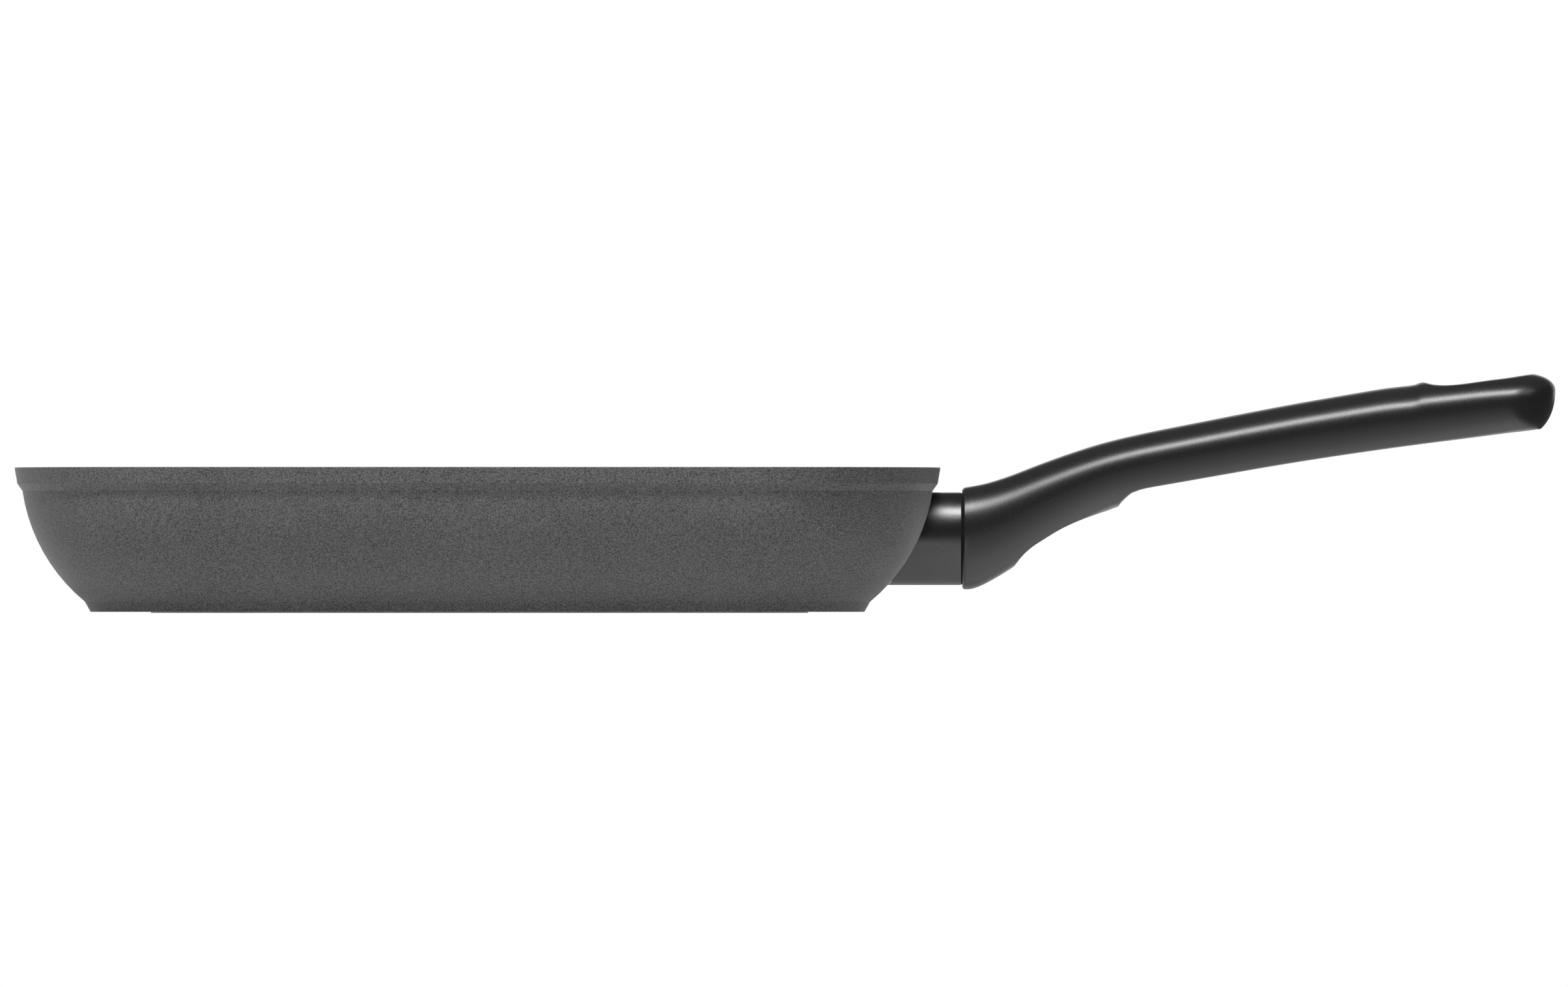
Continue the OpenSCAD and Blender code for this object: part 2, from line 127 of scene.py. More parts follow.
class NodeSheet:
    """A short way to lay out a shader's nodes."""

    def __init__(self, tree: bpy.types.NodeTree) -> None:
        """Clears the tree.

        Args:
            tree: the node tree of a material or of the world.
        """
        self.tree = tree
        tree.nodes.clear()

    def add(self, kind: str, **values: object) -> bpy.types.Node:
        """Adds a node.

        Args:
            kind: the node's type.
            values: its properties.

        Returns:
            The node.
        """
        node = self.tree.nodes.new(kind)
        for name, value in values.items():
            setattr(node, name, value)
        return node

    def feed(self, socket: bpy.types.NodeSocket, value: object) -> None:
        """Links a socket to another, or sets its plain value.

        Args:
            socket: the input.
            value: an output socket, a number, a vector or a colour.
        """
        if isinstance(value, bpy.types.NodeSocket):
            self.tree.links.new(value, socket)
        else:
            socket.default_value = value

    def place(self) -> bpy.types.NodeSocket:
        """Gives the object's own coordinates, in metres."""
        return self.add("ShaderNodeTexCoord").outputs["Object"]

    def stretched(self, factors: Point3) -> bpy.types.NodeSocket:
        """Scales the object's coordinates.

        Args:
            factors: the scale along X, Y and Z.

        Returns:
            The scaled coordinates.
        """
        node = self.add("ShaderNodeVectorMath", operation="MULTIPLY")
        self.feed(node.inputs[0], self.place())
        node.inputs[1].default_value = factors
        return node.outputs["Vector"]

    def length(self, vector: bpy.types.NodeSocket) -> bpy.types.NodeSocket:
        """Measures a vector.

        Args:
            vector: the vector.

        Returns:
            Its length.
        """
        node = self.add("ShaderNodeVectorMath", operation="LENGTH")
        self.feed(node.inputs[0], vector)
        return node.outputs["Value"]

    def noise(self, grain: Grain) -> bpy.types.NodeSocket:
        """Adds a noise.

        Args:
            grain: its size, its layers and its stretch.

        Returns:
            The noise, from 0 to 1.
        """
        node = self.add("ShaderNodeTexNoise")
        self.feed(node.inputs["Vector"], self.stretched(grain.stretch) if grain.stretch else self.place())
        node.inputs["Scale"].default_value = 1 / (grain.size * MM)
        node.inputs["Detail"].default_value = grain.layers
        node.inputs["Roughness"].default_value = grain.rough
        return node.outputs["Fac"]

    def spread(self, value: bpy.types.NodeSocket, source: Range,
               target: Range = (0.0, 1.0)) -> bpy.types.NodeSocket:
        """Maps one range to another and clamps the result.

        Args:
            value: the input.
            source: the inputs that give the two ends of the result.
            target: the two ends of the result.

        Returns:
            The mapped value.
        """
        node = self.add("ShaderNodeMapRange")
        self.feed(node.inputs["Value"], value)
        for name, number in zip(("From Min", "From Max", "To Min", "To Max"), (*source, *target)):
            node.inputs[name].default_value = number
        return node.outputs["Result"]

    def math(self, operation: str, first: object, second: object = 0.0) -> bpy.types.NodeSocket:
        """Adds a math node.

        Args:
            operation: its name.
            first: the first value or socket.
            second: the second value or socket.

        Returns:
            The result.
        """
        node = self.add("ShaderNodeMath", operation=operation)
        self.feed(node.inputs[0], first)
        self.feed(node.inputs[1], second)
        return node.outputs[0]

    def blend(self, share: bpy.types.NodeSocket, first: Point3, second: Point3) -> bpy.types.NodeSocket:
        """Mixes two colours.

        Args:
            share: how much of the second colour there is.
            first: one colour.
            second: the other colour.

        Returns:
            The mixed colour.
        """
        node = self.add("ShaderNodeMix", data_type="RGBA")
        self.feed(node.inputs[0], share)
        # Inputs 6 and 7 are the node's two colours.
        node.inputs[6].default_value = (*first, 1.0)
        node.inputs[7].default_value = (*second, 1.0)
        return node.outputs[2]

    def tones(self, share: bpy.types.NodeSocket, shade: float, factors: Range) -> bpy.types.NodeSocket:
        """Varies a grey.

        Args:
            share: where it is 0 the first factor is used, and where it is 1 the second.
            shade: the grey.
            factors: what the grey is multiplied by.

        Returns:
            The varied grey.
        """
        return self.blend(share, grey(shade * factors[0]), grey(shade * factors[1]))

    def bump(self, height: bpy.types.NodeSocket, tooth: Tooth) -> bpy.types.NodeSocket:
        """Turns a height into a bumped normal.

        Args:
            height: the height, from 0 to 1.
            tooth: how deep and how strong the bump is.

        Returns:
            The normal.
        """
        node = self.add("ShaderNodeBump")
        node.inputs["Strength"].default_value = tooth.strength
        node.inputs["Distance"].default_value = tooth.depth * MM
        self.feed(node.inputs["Height"], height)
        return node.outputs["Normal"]

    def mixed(self, share: bpy.types.NodeSocket, first: bpy.types.NodeSocket,
              second: bpy.types.NodeSocket) -> bpy.types.NodeSocket:
        """Mixes two shaders.

        Args:
            share: how much of the second shader there is.
            first: one shader.
            second: the other shader.

        Returns:
            The mixed shader.
        """
        node = self.add("ShaderNodeMixShader")
        for socket, value in zip(node.inputs, (share, first, second)):
            self.feed(socket, value)
        return node.outputs[0]

    def show(self, shader: bpy.types.NodeSocket, output: Output = Output.MATERIAL) -> None:
        """Makes a shader the one that is seen.

        Args:
            shader: the shader.
            output: the node that it ends in.
        """
        self.feed(self.add(output.value).inputs["Surface"], shader)

    def surface(self, **values: object) -> None:
        """Adds the surface shader and the output.

        Args:
            values: the shader's inputs, with underscores for spaces.
        """
        shader = self.add("ShaderNodeBsdfPrincipled")
        for name, value in values.items():
            self.feed(shader.inputs[name.replace("_", " ")], value)
        self.show(shader.outputs["BSDF"])


def new_material(name: str) -> tuple[bpy.types.Material, NodeSheet]:
    """Makes an empty material.

    Args:
        name: the material's name.

    Returns:
        The material and the sheet for its nodes.
    """
    material = bpy.data.materials.new(name)
    material.use_nodes = True
    return material, NodeSheet(material.node_tree)


@dataclass(frozen=True)
class Finish:
    """A finish that can be laid on a piece."""

    name: str
    slot: Slot

    def material(self) -> bpy.types.Material:
        """Makes the finish's material.

        Returns:
            The material.
        """
        material, sheet = new_material(self.name)
        self.lay(sheet)
        return material

    def lay(self, sheet: NodeSheet) -> None:
        """Lays out the material's nodes; each finish says how."""
        raise NotImplementedError


@dataclass(frozen=True)
class SpeckledCoat(Finish):
    """The dark grey non-stick coat with its fine speckle."""

    dark: float = 0.026
    light: float = 0.16
    speck: Grain = Grain(0.42, rough=0.7)
    speck_range: Range = (0.37, 0.63)
    cloud: Grain = Grain(28.0, layers=3.0)
    cloud_depth: float = 0.06
    flake_range: Range = (0.4, 0.6)
    flake: float = 0.2
    roughness: Range = (0.41, 0.54)
    specular: float = 0.4
    tooth: Tooth = Tooth(0.05, 0.35)

    def lay(self, sheet: NodeSheet) -> None:
        """Lays bright flakes, faint clouds and a fine tooth over a satin grey.

        Args:
            sheet: the material's sheet.
        """
        speck = sheet.noise(self.speck)
        share = sheet.spread(speck, self.speck_range)
        cloud = sheet.spread(sheet.noise(self.cloud), NOISE_RANGE, (-self.cloud_depth, self.cloud_depth))
        colour = sheet.blend(sheet.math("ADD", share, cloud), grey(self.dark), grey(self.light))
        metal = sheet.spread(speck, self.flake_range, (0.0, self.flake))
        rough = sheet.spread(speck, NOISE_RANGE, self.roughness)
        normal = sheet.bump(speck, self.tooth)
        sheet.surface(Base_Color=colour, Metallic=metal, Roughness=rough, Normal=normal,
                      Specular_IOR_Level=self.specular)


@dataclass(frozen=True)
class TurnedSteel(Finish):
    """Steel with the fine rings that a lathe leaves."""

    shade: float = 0.56
    tones: Range = (0.9, 1.06)
    ring: float = 0.32
    wobble: Grain = Grain(2.4, layers=3.0)
    wobble_reach: float = 0.12
    stain: Grain = Grain(22.0, layers=4.0)
    stain_range: Range = (0.35, 0.65)
    roughness: Range = (0.27, 0.38)
    tooth: Tooth = Tooth(0.02, 0.4)

    def lay(self, sheet: NodeSheet) -> None:
        """Lays concentric rings round the Z axis over bright steel.

        Args:
            sheet: the material's sheet.
        """
        radius = sheet.length(sheet.stretched((1.0, 1.0, 0.0)))
        reach = self.wobble_reach * MM
        wobble = sheet.spread(sheet.noise(self.wobble), NOISE_RANGE, (-reach, reach))
        turns = sheet.math("MULTIPLY", sheet.math("ADD", radius, wobble), math.tau / (self.ring * MM))
        wave = sheet.spread(sheet.math("SINE", turns), (-1.0, 1.0))
        stain = sheet.spread(sheet.noise(self.stain), self.stain_range)
        rough = sheet.spread(wave, (0.0, 1.0), self.roughness)
        sheet.surface(Base_Color=sheet.tones(stain, self.shade, self.tones), Metallic=1.0, Roughness=rough,
                      Normal=sheet.bump(wave, self.tooth))


@dataclass(frozen=True)
class PolishedMetal(Finish):
    """The dark polished metal of the sleeve."""

    shade: float = 0.124
    tones: Range = (0.94, 1.06)
    haze: Grain = Grain(6.0, layers=3.0)
    lines: Grain = Grain(0.25, stretch=(0.03, 1.0, 1.0))
    roughness: Range = (0.26, 0.32)
    tooth: Tooth = Tooth(0.004, 0.25)

    def lay(self, sheet: NodeSheet) -> None:
        """Lays faint polishing lines along X over dark metal.

        Args:
            sheet: the material's sheet.
        """
        haze = sheet.noise(self.haze)
        colour = sheet.tones(sheet.spread(haze, NOISE_RANGE), self.shade, self.tones)
        rough = sheet.spread(haze, NOISE_RANGE, self.roughness)
        normal = sheet.bump(sheet.noise(self.lines), self.tooth)
        sheet.surface(Base_Color=colour, Metallic=1.0, Roughness=rough, Normal=normal)


@dataclass(frozen=True)
class MouldedResin(Finish):
    """Satin black moulded resin with a very fine grain."""

    shade: float = 0.007
    tones: Range = (0.88, 1.14)
    flow: Grain = Grain(14.0, layers=3.0, stretch=(0.35, 1.0, 1.0))
    grain: Grain = Grain(0.3, rough=0.6)
    roughness: Range = (0.24, 0.33)
    specular: float = 1.0
    tooth: Tooth = Tooth(0.02, 0.22)

    def lay(self, sheet: NodeSheet) -> None:
        """Lays a fine tooth and faint flow marks over black resin.

        Args:
            sheet: the material's sheet.
        """
        grain = sheet.noise(self.grain)
        flow = sheet.spread(sheet.noise(self.flow), NOISE_RANGE)
        colour = sheet.tones(flow, self.shade, self.tones)
        rough = sheet.spread(grain, NOISE_RANGE, self.roughness)
        sheet.surface(Base_Color=colour, Roughness=rough, Normal=sheet.bump(grain, self.tooth),
                      Specular_IOR_Level=self.specular)


@dataclass(frozen=True)
class MattRubber(Finish):
    """Black rubber."""

    shade: float = 0.008
    tones: Range = (0.8, 1.3)
    skin: Grain = Grain(0.6, layers=3.0)
    roughness: Range = (0.66, 0.8)
    specular: float = 0.25
    tooth: Tooth = Tooth(0.02, 0.3)

    def lay(self, sheet: NodeSheet) -> None:
        """Lays a dull, slightly uneven skin over black.

        Args:
            sheet: the material's sheet.
        """
        skin = sheet.noise(self.skin)
        colour = sheet.tones(skin, self.shade, self.tones)
        rough = sheet.spread(skin, NOISE_RANGE, self.roughness)
        sheet.surface(Base_Color=colour, Roughness=rough, Normal=sheet.bump(skin, self.tooth),
                      Specular_IOR_Level=self.specular)


@dataclass(frozen=True)
class PlainSteel(Finish):
    """The plain steel of screws and washers."""

    shade: float = 0.5
    tones: Range = (0.85, 1.1)
    scuff: Grain = Grain(0.8, layers=4.0, rough=0.6)
    roughness: Range = (0.26, 0.42)
    tooth: Tooth = Tooth(0.01, 0.3)

    def lay(self, sheet: NodeSheet) -> None:
        """Lays fine scuffs over plain steel.

        Args:
            sheet: the material's sheet.
        """
        scuff = sheet.noise(self.scuff)
        colour = sheet.tones(sheet.spread(scuff, NOISE_RANGE), self.shade, self.tones)
        rough = sheet.spread(scuff, NOISE_RANGE, self.roughness)
        normal = sheet.bump(scuff, self.tooth)
        sheet.surface(Base_Color=colour, Metallic=1.0, Roughness=rough, Normal=normal)


COAT = SpeckledCoat("speckled_coat", Slot.CAST)
DISC_STEEL = TurnedSteel("turned_steel", Slot.BASE)
SLEEVE_METAL = PolishedMetal("dark_polished_metal", Slot.SLEEVE)
SEAL_RUBBER = MattRubber("matt_rubber", Slot.SEAL)
RESIN = MouldedResin("satin_resin", Slot.RESIN)
FASTENER_STEEL = PlainSteel("plain_steel", Slot.FASTENER)


def mesh_object(name: str, verts: Sequence[Point3], faces: Sequence[Sequence[int]]) -> bpy.types.Object:
    """Makes an object from points in millimetres.

    Args:
        name: the object's name.
        verts: the points.
        faces: the faces, as rows of point numbers.

    Returns:
        The object, with its normals outwards.
    """
    mesh = bpy.data.meshes.new(name)
    mesh.from_pydata([tuple(c * MM for c in v) for v in verts], [], [tuple(f) for f in faces])
    shape = bmesh.new()
    shape.from_mesh(mesh)
    bmesh.ops.remove_doubles(shape, verts=shape.verts, dist=WELD)
    bmesh.ops.dissolve_degenerate(shape, edges=shape.edges, dist=WELD)
    bmesh.ops.recalc_face_normals(shape, faces=shape.faces)
    shape.to_mesh(mesh)
    shape.free()
    thing = bpy.data.objects.new(name, mesh)
    bpy.context.scene.collection.objects.link(thing)
    return thing


def cut(thing: bpy.types.Object, cutter: bpy.types.Object) -> None:
    """Cuts one solid out of another and deletes the cutter.

    Args:
        thing: the solid that stays.
        cutter: the solid that is taken away.
    """
    step = thing.modifiers.new("cut", "BOOLEAN")
    step.operation = "DIFFERENCE"
    step.solver = "EXACT"
    step.object = cutter
    graph = bpy.context.evaluated_depsgraph_get()
    made = bpy.data.meshes.new_from_object(thing.evaluated_get(graph))
    thing.modifiers.clear()
    old = thing.data
    thing.data = made
    made.name = thing.name
    bpy.data.meshes.remove(old)
    bpy.data.objects.remove(cutter)


def smooth_up(thing: bpy.types.Object, angle: float) -> None:
    """Shades a mesh smooth, apart from its sharp edges.

    Args:
        thing: the object.
        angle: edges that turn by more degrees than this stay sharp.
    """
    thing.data.polygons.foreach_set("use_smooth", [True] * len(thing.data.polygons))
    thing.data.set_sharp_from_angle(angle=math.radians(angle))
    thing.data.update()


def open_edges(thing: bpy.types.Object) -> int:
    """Counts the edges that don't have exactly two faces.

    Args:
        thing: the object.

    Returns:
        How many there are, which is 0 for a closed solid.
    """
    shape = bmesh.new()
    shape.from_mesh(thing.data)
    count = sum(1 for edge in shape.edges if len(edge.link_faces) != 2)
    shape.free()
    return count


def curve_at(line: Sequence[Point2], x: float) -> float:
    """Gives the height of a smooth curve through a row of points.

    Args:
        line: the points, with x rising.
        x: where the height is asked for.

    Returns:
        The height at x.
    """
    last = len(line) - 1
    i = 0
    while i < last - 1 and x >= line[i + 1][0]:
        i += 1

    def slope(k: int) -> float:
        """Gives the curve's slope at point k."""
        a, b = line[max(k - 1, 0)], line[min(k + 1, last)]
        return (b[1] - a[1]) / (b[0] - a[0])

    (ax, az), (bx, bz) = line[i], line[i + 1]
    w = bx - ax
    t = (x - ax) / w
    return ((2 * t ** 3 - 3 * t ** 2 + 1) * az + (t ** 3 - 2 * t ** 2 + t) * w * slope(i)
            + (3 * t ** 2 - 2 * t ** 3) * bz + (t ** 3 - t ** 2) * w * slope(i + 1))


def round_off(before_end: float, stretch: float) -> float:
    """Gives the height of a unit quarter round.

    Args:
        before_end: the distance before the end of the rounded stretch.
        stretch: its length.

    Returns:
        From 0 at the end to 1 where the stretch starts.
    """
    if before_end >= stretch:
        return 1.0
    return math.sqrt(max(0.0, 1 - (1 - before_end / stretch) ** 2))


def soft_max(a: float, b: float, width: float) -> float:
    """Gives the larger of two heights, with a rounded change-over.

    Args:
        a: one height.
        b: the other height.
        width: how far apart they are where the rounding ends, or 0 or less for no rounding.

    Returns:
        The rounded maximum.
    """
    if width <= 0:
        return max(a, b)
    near = max(width - abs(a - b), 0.0) / width
    return max(a, b) + near * near * width / 4


def raised(surface: Height, rise: float) -> Height:
    """Gives a surface that lies higher than another by the same rise everywhere."""
    return lambda x: surface(x) + rise


def quarter_turn(start: float, steps: int) -> list[float]:
    """Gives even angles in radians, from a start in degrees to a right angle."""
    return [math.radians(start + (90.0 - start) * i / steps) for i in range(steps + 1)]


def oval(width: float, height: float, straight: float = 0.0, steps: int = 96) -> list[Point2]:
    """Gives an ellipse whose two halves may be set apart by straight sides.

    Args:
        width: its width.
        height: the height of its two halves together.
        straight: the length of the straight sides.
        steps: how many points it has.

    Returns:
        The points, from the right-hand side over the top.
    """
    points = []
    for i in range(steps):
        a = math.tau * i / steps
        rise = straight / 2 if 2 * i < steps else -straight / 2
        points.append((width / 2 * math.cos(a), height / 2 * math.sin(a) + rise))
    return points


def band_faces(rings: int, n: int) -> list[Sequence[int]]:
    """Gives the faces between neighbouring rings of a skin.

    Args:
        rings: how many rings there are.
        n: how many points each of them has.

    Returns:
        Faces of four points.
    """
    faces: list[Sequence[int]] = []
    for i in range(rings - 1):
        for j in range(n):
            a, b = i * n + j, i * n + (j + 1) % n
            faces.append((a, b, b + n, a + n))
    return faces


def ring_mesh(name: str, rings: Sequence[Sequence[Point3]]) -> bpy.types.Object:
    """Makes a closed skin over a row of rings with the same number of points.

    Args:
        name: the object's name.
        rings: the rings, in order.

    Returns:
        The object.
    """
    n = len(rings[0])
    faces = band_faces(len(rings), n)
    faces.append(list(range(n)))
    faces.append([(len(rings) - 1) * n + j for j in range(n)])
    return mesh_object(name, [point for ring in rings for point in ring], faces)


@dataclass
class LongPlug:
    """A cutter whose plan is a slot along X, with its own offset and height at every level."""

    name: str
    start: float
    end: float
    half_w: float
    arc_steps: int = 16
    straight_steps: int = 24

    def outline(self, offset: float) -> list[Point2]:
        """Gives one long side of the plan.

        Args:
            offset: how far it lies outside the plan.

        Returns:
            Points from the start to the end, with y from 0 up and back to 0.
        """
        r = self.half_w + offset
        first, last = self.start + self.half_w, self.end - self.half_w
        side = []
        for i in range(self.arc_steps):
            a = math.pi / 2 * i / self.arc_steps
            side.append((first - r * math.cos(a), r * math.sin(a)))
        for i in range(self.straight_steps + 1):
            side.append((first + (last - first) * i / self.straight_steps, r))
        for i in range(1, self.arc_steps + 1):
            a = math.pi / 2 * i / self.arc_steps
            side.append((last + r * math.sin(a), r * math.cos(a)))
        return side

    def build(self, levels: Sequence[Level], at: Point3) -> bpy.types.Object:
        """Builds the plug.

        Args:
            levels: the offset and the height over x of each level, from one end to the other.
            at: the point that the plan and the heights are counted from.

        Returns:
            The plug.
        """
        verts: list[Point3] = []
        for offset, height in levels:
            side = self.outline(offset)
            loop = side + [(x, -y) for x, y in reversed(side[1:-1])]
            verts += [(at[0] + x, at[1] + y, at[2] + height(x)) for x, y in loop]
        n = len(verts) // len(levels)
        faces = band_faces(len(levels), n)
        half = n // 2
        for base in (0, (len(levels) - 1) * n):
            faces.append((base, base + 1, base + n - 1))
            for j in range(1, half - 1):
                faces.append((base + j, base + j + 1, base + n - j - 1, base + n - j))
            faces.append((base + half - 1, base + half, base + half + 1))
        return mesh_object(self.name, verts, faces)


@dataclass
class Handle:
    """The moulded handle. Distances run from its front face, and heights from the screw's axis."""

    front_x: float = 146.9
    axis_z: float = 22.6
    length: float = 180.5
    finish: Finish = RESIN

    # A section is a superellipse of this power before it is cut.
    power: float = 2.15

    # The top, the bottom and the cored underside, each as distance and height.
    top_line: Sequence[Point2] = (
        (0, 15.45), (6.9, 16.75), (14, 18.95), (23.5, 22.6), (33.1, 26.05), (42.5, 29), (53.1, 31.6),
        (70.9, 35.2), (99.3, 40.7), (123.1, 44.85), (129.2, 45.8), (134.9, 46.45), (137.3, 46.75),
        (139.7, 47.5), (148.1, 48.5), (158.7, 49.6), (171.1, 50.3), (180.5, 50.6))
    bottom_line: Sequence[Point2] = (
        (0, -15.45), (3, -15.25), (6.9, -13.75), (14, -9.65), (23.1, -3.45), (33.1, 2.9), (41.1, 7.15),
        (47.4, 9.7), (58.1, 12.55), (99.1, 20.2), (143.1, 27.1), (165.1, 30.85), (180.5, 33.9))
    under_line: Sequence[Point2] = (
        (51.6, 13.9), (54.3, 14.9), (56.7, 15.45), (63.8, 16.7), (99.3, 22.85), (127.8, 27.15),
        (156.2, 30.85), (168.7, 32.4), (175.2, 33.25))

    # The widths, as distance and width.
    width_line: Sequence[Point2] = (
        (0, 24.4), (18.7, 24.0), (36.7, 24.0), (98.7, 25.0), (158.7, 26.6), (180.5, 26.6))

    # The nub where the cored underside starts: its place, and how far its curve bulges backwards and up.
    nub: Point2 = (47.4, 9.7)
    nub_bulge: Point2 = (1.9, 2.6)
    halvings: int = 40

    # The dish round the hanging slot, from the lip before it.
    dish_line: Sequence[Point2] = (
        (140.3, 47.6), (143.2, 46.95), (146.6, 46.7), (151.5, 47), (160.7, 48.3), (180.5, 51.03))

    # The rounded tip: the height of its middle, the length, rise and drop of its rounding, the length
    # of its rounding in plan, and the small flat that is left at the end.
    tip_z: float = 45.0
    tip_round: float = 9.4
    tip_above: float = 5.05
    tip_below: float = 13.4
    tip_plan_round: float = 14.4
    tip_flat: float = 0.5

    # The rounding of the front edge, of the underside's edge and of the dish's edge.
    front_r: float = 0.9
    edge_low: float = 0.9
    edge_dish: float = 1.1

    # An uncut section has its closest points at this angle, in degrees. The least depth keeps a cut's own
    # angle above the section's middle.
    virtual_corner: float = 68.0
    least_depth: float = 0.05

    # The socket's height, width and depth, the screw's hole and seat, and the well's height and width.
    socket: Point3 = (22.6, 16.1, 5.4)
    screw_hole: float = 6.4
    seat_x: float = 9.0
    well: Point2 = (17.0, 14.2)
    well_len: float = 60.0
    overlap: float = 1.0

    # The hollow under the grip, and the hanging slot. Their ends are counted from the tip.
    hollow_front: float = 52.7
    hollow_end: float = 40.5
    hollow_half_w: float = 6.5
    hollow_depth: float = 8.0
    hollow_steps: int = 40
    roof_r: float = 1.5
    roof_steps: int = 6
    slot_len: float = 24.0
    slot_w: float = 11.0
    slot_end: float = 10.5

    # The rounded mouths: their radius, the cutter's reach outwards and out of the surface, and the angle
    # in degrees at which the round leaves the surface.
    lip_r: float = 0.6
    lip_out: float = 0.6
    lip_rise: float = 1.2
    lip_from: float = 18.0
    lip_steps: int = 4

    # The sections stand closer near the nub and near the dish, and close up over the tail's last stretch.
    near_nub: Range = (44.7, 52.2)
    near_dish: Range = (137.7, 148.7)
    tail_turn: float = 14.8
    front_rings: int = 8
    span_rings: Sequence[int] = (32, 6, 16, 46, 6, 18, 14)
    tail_rings: int = 28

    # How many points a section has across its top or bottom and down its side, and the sharpest edge,
    # in degrees, that is still shaded smooth.
    ring_top: int = 14
    ring_side: int = 56
    smooth_angle: float = 32.0

    def top_at(self, x: float) -> float:
        """Gives the top's height before it is dished.

        Args:
            x: the distance behind the front face.

        Returns:
            The height.
        """
        e = self.length - x
        height = curve_at(self.top_line, x)
        if e >= self.tip_round:
            return height
        return min(height, self.tip_z + self.tip_flat / 2 + self.tip_above * round_off(e, self.tip_round))

    def bottom_at(self, x: float) -> float:
        """Gives the bottom's height before it is cut.

        Args:
            x: the distance behind the front face.

        Returns:
            The height.
        """
        e = self.length - x
        height = curve_at(self.bottom_line, x)
        if e >= self.tip_round:
            return height
        return max(height, self.tip_z - self.tip_flat / 2 - self.tip_below * round_off(e, self.tip_round))

    def half_w_at(self, x: float) -> float:
        """Gives half the handle's width at a distance."""
        half_w = curve_at(self.width_line, x) / 2 * round_off(self.length - x, self.tip_plan_round)
        return max(self.tip_flat / 2, half_w)

    def under_at(self, x: float) -> float:
        """Gives the height of the cored underside.

        Args:
            x: the distance behind the front face.

        Returns:
            The height, or one far below in front of the nub.
        """
        first = self.under_line[0]
        if x < self.nub[0]:
            return -FAR
        if x >= first[0]:
            return curve_at(self.under_line, x)
        bend = (self.nub[0] + self.nub_bulge[0], self.nub[1] + self.nub_bulge[1])

        def bulge(t: float, k: int) -> float:
            """Gives the distance (k is 0) or the height (k is 1) at a share of the bulge."""
            return (1 - t) ** 2 * self.nub[k] + 2 * t * (1 - t) * bend[k] + t * t * first[k]

        low, high, t = 0.0, 1.0, 0.5
        for _ in range(self.halvings):
            t = (low + high) / 2
            low, high = (t, high) if bulge(t, 0) < x else (low, t)
        return bulge(t, 1)

    def dish_at(self, x: float) -> float:
        """Gives the height of the dish round the slot, or one far above in front of it."""
        return FAR if x < self.dish_line[0][0] else curve_at(self.dish_line, x)

    def roof_at(self, x: float) -> float:
        """Gives the height of the hollow's roof."""
        return self.under_at(max(x, self.under_line[0][0])) + self.hollow_depth

    def corner_angle(self, depth: float) -> float:
        """Gives the angle of the edge that a flat cut leaves on a section.

        Args:
            depth: the cut's height from the middle, as a share of the half height.

        Returns:
            The angle in radians, no more than the virtual corner's.
        """
        limit = math.radians(self.virtual_corner)
        if depth >= 1:
            return limit
        return min(limit, math.asin(max(depth, self.least_depth) ** (self.power / 2)))

    def uncut_side(self, half_w: float, half_h: float, high: float, low: float) -> list[Point2]:
        """Gives one side of a section before it is cut.

        Args:
            half_w: half its width.
            half_h: half its height.
            high: the angle of the edge that the dish leaves.
            low: the angle of the edge that the underside leaves.

        Returns:
            Points from the top to the bottom, as distance and height from the middle, closest at the edges.
        """

        def height_over(y: float) -> float:
            """Gives the section's height from its middle at a distance from its axis."""
            share = min(1.0, abs(y) / half_w)
            return half_h * (1 - share ** self.power) ** (1 / self.power)

        side: list[Point2] = []
        edge = half_w * math.cos(high) ** (2 / self.power)
        for i in range(self.ring_top):
            y = edge * math.sin(math.pi / 2 * i / self.ring_top)
            side.append((y, height_over(y)))
        for i in range(self.ring_side + 1):
            a = high - (high + low) * (1 - math.cos(math.pi * i / self.ring_side)) / 2
            z = math.copysign(abs(math.sin(a)) ** (2 / self.power), a)
            side.append((half_w * math.cos(a) ** (2 / self.power), half_h * z))
        edge = half_w * math.cos(low) ** (2 / self.power)
        for i in range(1, self.ring_top + 1):
            y = edge * math.cos(math.pi / 2 * i / self.ring_top)
            side.append((0.0 if i == self.ring_top else y, -height_over(y)))
        return side

    def section(self, x: float, inset: float) -> list[Point3]:
        """Gives one closed section of the handle.

        Args:
            x: the distance behind the front face.
            inset: how far it lies inside the full section.

        Returns:
            The points, from the top round over +Y.
        """
        half_w = self.half_w_at(x) - inset
        top, bottom = self.top_at(x), self.bottom_at(x)
        mid, half_h = (top + bottom) / 2, (top - bottom) / 2 - inset
        dish, under = self.dish_at(x), self.under_at(x)
        high = self.corner_angle((dish - mid) / half_h)
        low = self.corner_angle((mid - under) / half_h)
        low_r = min(self.edge_low, under - mid + half_h)
        dish_r = min(self.edge_dish, mid + half_h - dish)
        side = []
        for y, z in self.uncut_side(half_w, half_h, high, low):
            kept = soft_max(mid + z, under, low_r)
            side.append((y, -soft_max(-kept, -dish, dish_r)))
        loop = side + [(-y, z) for y, z in reversed(side[1:-1])]
        return [(self.front_x + x, y, self.axis_z + z) for y, z in loop]

